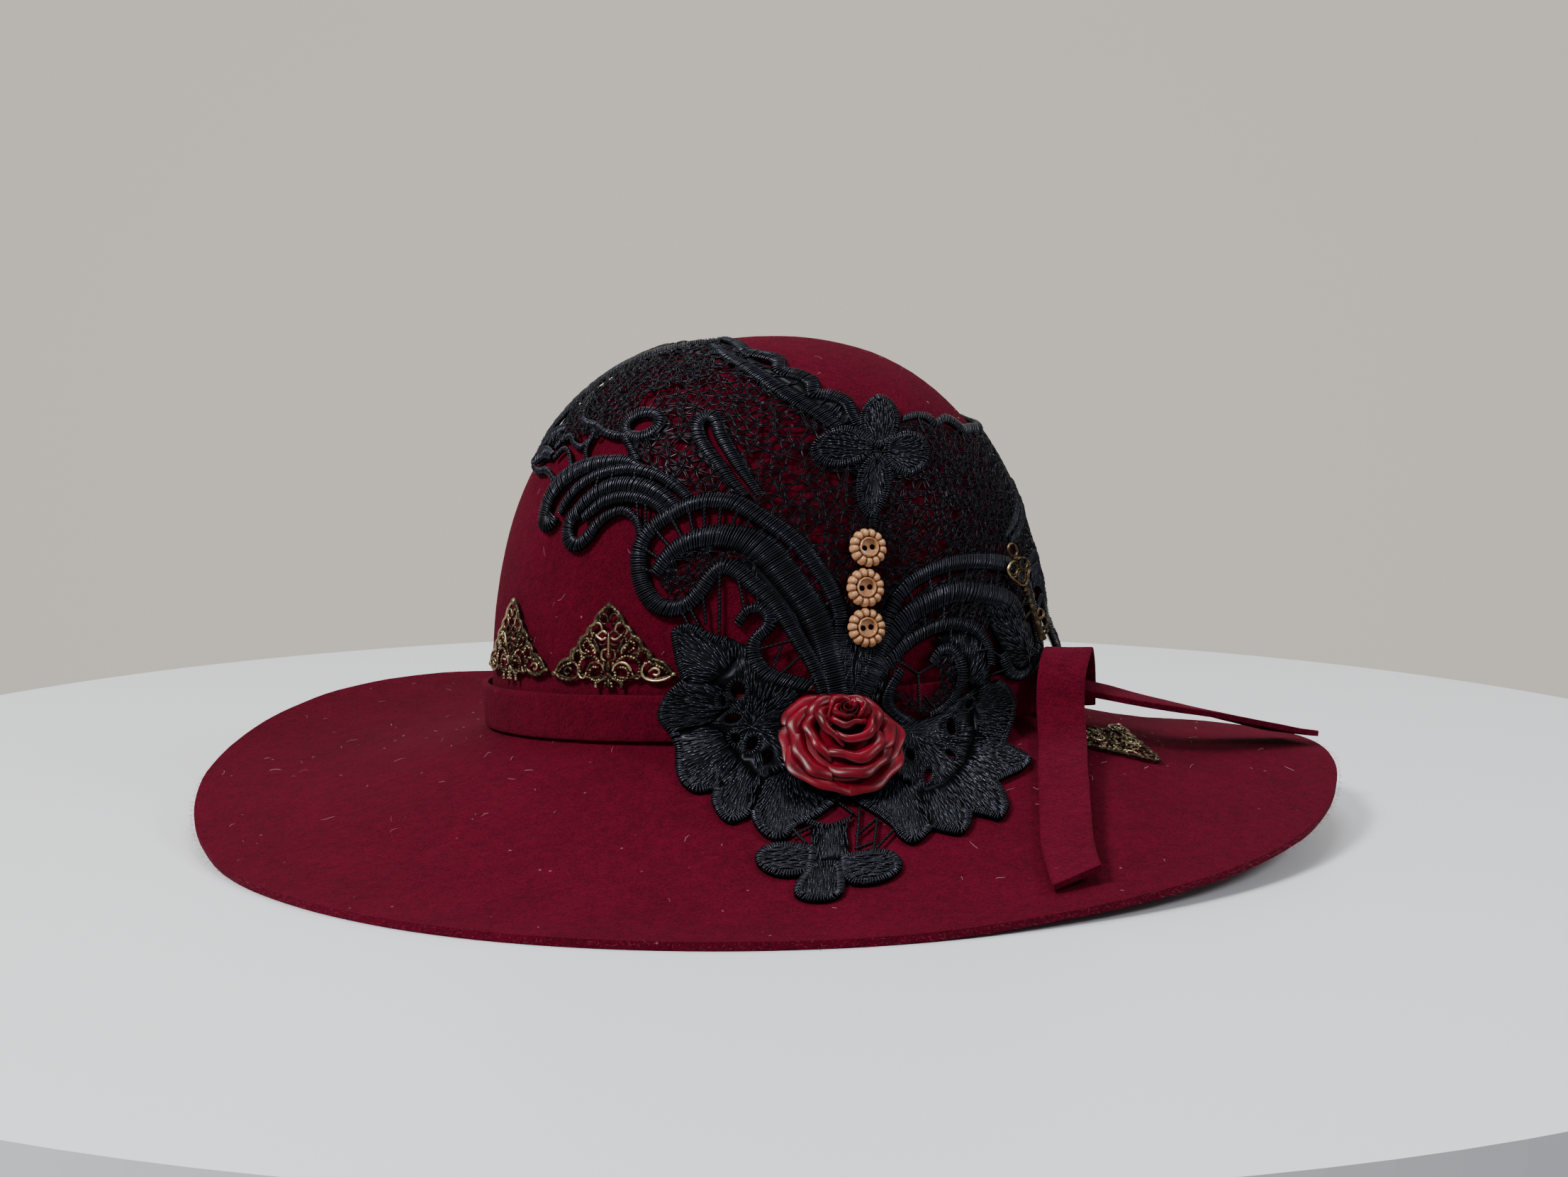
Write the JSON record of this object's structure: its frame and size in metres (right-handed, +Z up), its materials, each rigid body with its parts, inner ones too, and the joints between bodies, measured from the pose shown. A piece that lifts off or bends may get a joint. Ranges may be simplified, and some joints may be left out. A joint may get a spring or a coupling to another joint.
{
  "type": "wide brim hat",
  "caption": "Wide brim felt hat with a rounded crown, tied felt band, lace collar applique, flower buttons, ribbon rose and brass trims.",
  "frame": {"origin": "on the floor under the middle of the hat's box, where the brim rests", "axes": "+X along the hat's length, to the right in front view; +Y from the lace-trimmed front to the back; +Z up"},
  "size_m": [0.3932, 0.3754, 0.1653],
  "materials": {
    "burgundy_felt": "matte napped wool felt",
    "band_felt": "matte wool felt, cut edges",
    "black_lace": "embroidered rayon guipure lace, slight sheen",
    "tan_button": "moulded, glossy",
    "red_satin": "satin ribbon",
    "antique_brass": "aged, dark in the hollows"
  },
  "bodies": {
    "root": {"hat_body": "burgundy_felt", "hat_band": "band_felt", "front_tail": "band_felt", "back_tail": "band_felt", "lace_applique": "black_lace", "button_1": "tan_button", "button_2": "tan_button", "button_3": "tan_button", "ribbon_rose": "red_satin", "filigree_1": "antique_brass", "filigree_2": "antique_brass", "filigree_3": "antique_brass", "key_charm": "antique_brass"}
  },
  "joints": []
}
